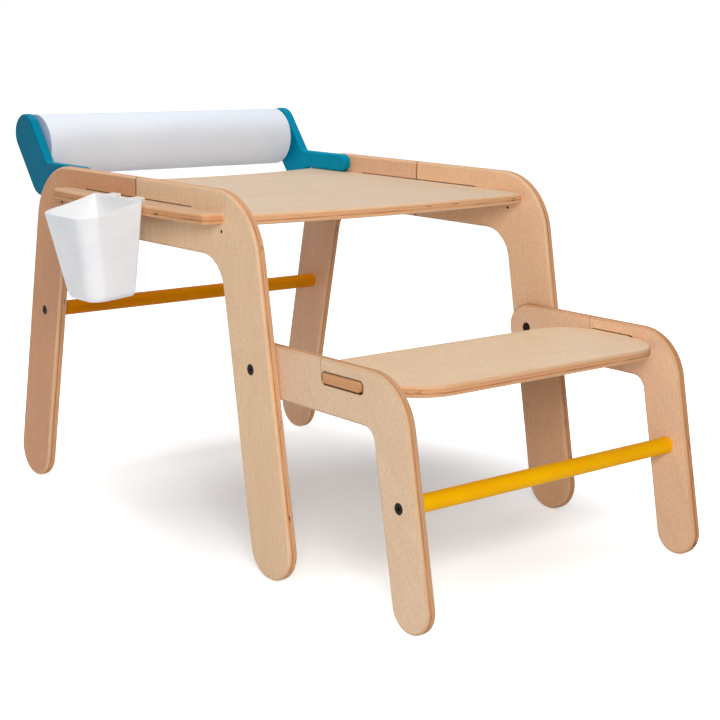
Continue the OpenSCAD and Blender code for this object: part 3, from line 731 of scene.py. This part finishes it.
# main and deeper colour; the left bracket's deeper turquoise is partly painted shade
TURQUOISES = {"bracket_left": (srgb(0, 122, 152), srgb(0, 110, 140)),
              "bracket_right": (srgb(0, 146, 180), srgb(0, 132, 166))}
TURQUOISE_PALE = srgb(0, 146, 180)
for seed, (name, (turquoise, deep)) in enumerate(TURQUOISES.items()):
    coat = lacquer("turquoise_" + name, turquoise, deep, TURQUOISE_PALE, 5.0 + seed, name)
    rounded_board(name, "desk", "X", bracket_radius, coat)


# ---------- the pieces that keep their CAD mesh ----------

# main and deeper colour; the rear bar's deeper yellow is partly painted shade
YELLOWS = {"rear_bar": (srgb(234, 148, 0), srgb(214, 126, 0)),
           "front_bar": (srgb(255, 190, 0), srgb(246, 172, 0))}
for seed, (name, (yellow, deep)) in enumerate(YELLOWS.items()):
    dress(name, lacquer("yellow_" + name, yellow, deep, yellow, 2.0 + seed))

BLACK = metal("black_steel", srgb(4, 4, 5), srgb(16, 16, 18), 0.0, 900.0, 0.12)
STEEL = metal("plain_steel", srgb(176, 176, 178), srgb(140, 140, 142), 1.0, 1200.0, 0.5)
BEECH = beech_material()
for material, names in (
        (BLACK, ("rear_bar_bolts", "front_bar_bolts", "pivot_bolts", "pivot_sleeves")),
        (STEEL, ("rear_bar_inserts", "front_bar_inserts", "pivot_washers")),
        (BEECH, ("left_seam_dowels", "right_seam_dowels", "bracket_dowels", "roll_spindle")),
        (paper_material(), ("paper_roll",)),
        (card_material(), ("core_tube",)),
        (plastic_material(), ("cup",))):
    for name in names:
        dress(name, material)


# ---------- floor, light and camera ----------

FLOOR_HALF = 30.0
FLOOR_COLOUR = (0.83, 0.845, 0.86, 1.0)
# what the floor gives off, seen by the camera: near the desk, and far from it, where it is white
FLOOR_LIFT = 0.23
FAR_LIFT = 0.95
# the patch that the shadow falls on: its middle, its reach along x and y, and where it fades, as
# parts of that reach. The floor glows less over it, so that the lamps' shadows show; the stronger
# glow beyond is painted light, which whitens their shadows there.
SHADOW_MIDDLE = (0.10, 0.02, 0.0)
SHADOW_REACH = (0.35, 0.46, 1.0)
SHADOW_FADE = (0.35, 1.70)
WORLD_LIGHT = 0.20
# name, place, aim, diameter, watts and colour
LAMPS = (
    ("front", (-1.75, -2.45, 1.5), (0.0, 0.0, 0.3), 1.3, 61.0, (1.0, 0.99, 0.975)),
    ("top", (-0.1, 0.7, 2.6), (0.0, 0.0, 0.2), 1.1, 25.5, (1.0, 1.0, 1.0)),
    ("fill", (2.4, 0.5, 1.1), (0.0, 0.0, 0.3), 1.6, 7.0, (1.0, 1.0, 1.0)))
# the photograph's camera: its place from the middle of the desk, and its angles in radians
CAMERA_FROM_DESK = Vector((-1.43673, -1.87687, 0.70456))
CAMERA_YAW = -0.6995
CAMERA_PITCH = -0.2070
CAMERA_ROLL = 0.0152
LENS_MM = 78.53
SENSOR_MM = 36.0


def floor():
    """A wide pale floor that stays white to the camera and keeps the shadows."""
    mesh = bpy.data.meshes.new("floor")
    bm = bmesh.new()
    bmesh.ops.create_grid(bm, x_segments=1, y_segments=1, size=FLOOR_HALF)
    bm.to_mesh(mesh)
    bm.free()
    piece = bpy.data.objects.new("floor", mesh)
    bpy.context.scene.collection.objects.link(piece)
    g = Graph("floor")
    g.shader.inputs["Base Color"].default_value = FLOOR_COLOUR
    g.shader.inputs["Roughness"].default_value = 0.9
    g.shader.inputs["Specular IOR Level"].default_value = 0.1
    path = g.add("ShaderNodeLightPath")
    seen = g.math("MAXIMUM", path.outputs["Is Camera Ray"],
                  g.math("MAXIMUM", path.outputs["Is Glossy Ray"],
                         path.outputs["Is Transmission Ray"]))
    place = g.object_place_from(SHADOW_MIDDLE)
    away = g.vector_math("LENGTH", g.vector_math("DIVIDE", place, SHADOW_REACH))
    g.shader.inputs["Emission Color"].default_value = WHITE
    g.put(g.shader.inputs["Emission Strength"],
          g.math("MULTIPLY", seen, g.smooth(away, *SHADOW_FADE, FLOOR_LIFT, FAR_LIFT)))
    mesh.materials.append(g.mat)


def world():
    """A dim even light on the object, and white where the camera, gloss or glass looks past it."""
    scene_world = bpy.data.worlds.new("studio")
    bpy.context.scene.world = scene_world
    scene_world.use_nodes = True
    tree = scene_world.node_tree
    background = tree.nodes["Background"]
    background.inputs["Color"].default_value = WHITE
    path = tree.nodes.new("ShaderNodeLightPath")
    seen = path.outputs["Is Camera Ray"]
    for ray in ("Is Glossy Ray", "Is Transmission Ray"):
        either = tree.nodes.new("ShaderNodeMath")
        either.operation = "MAXIMUM"
        tree.links.new(seen, either.inputs[0])
        tree.links.new(path.outputs[ray], either.inputs[1])
        seen = either.outputs[0]
    strength = tree.nodes.new("ShaderNodeMapRange")
    tree.links.new(seen, strength.inputs[0])
    strength.inputs[3].default_value = WORLD_LIGHT
    strength.inputs[4].default_value = 1.0
    tree.links.new(strength.outputs[0], background.inputs["Strength"])


def lamp(name, place, aim, diameter, power, colour):
    data = bpy.data.lights.new(name, "AREA")
    data.shape = "DISK"
    data.size = diameter
    data.energy = power
    data.color = colour
    piece = bpy.data.objects.new(name, data)
    bpy.context.scene.collection.objects.link(piece)
    piece.location = place
    piece.rotation_euler = (Vector(aim) - Vector(place)).to_track_quat("-Z", "Y").to_euler()


def camera():
    """The photograph's viewing angle: beside and in front of the bench, above the desk top."""
    yaw, pitch, roll = CAMERA_YAW, CAMERA_PITCH, CAMERA_ROLL
    forward = Vector((-math.sin(yaw) * math.cos(pitch), math.cos(yaw) * math.cos(pitch),
                      math.sin(pitch)))
    right = Vector((math.cos(yaw), math.sin(yaw), 0.0))
    up = right.cross(forward)
    x_axis = right * math.cos(roll) + up * math.sin(roll)
    y_axis = up * math.cos(roll) - right * math.sin(roll)
    data = bpy.data.cameras.new("camera")
    data.sensor_width = SENSOR_MM
    data.lens = LENS_MM
    data.clip_start = 0.05
    data.clip_end = 200.0
    piece = bpy.data.objects.new("camera", data)
    bpy.context.scene.collection.objects.link(piece)
    turn = Matrix((x_axis, y_axis, -forward)).transposed()
    piece.matrix_world = Matrix.Translation(DESK + CAMERA_FROM_DESK) @ turn.to_4x4()
    bpy.context.scene.camera = piece


floor()
world()
for settings in LAMPS:
    lamp(*settings)
camera()
bpy.context.scene.view_settings.view_transform = "Standard"
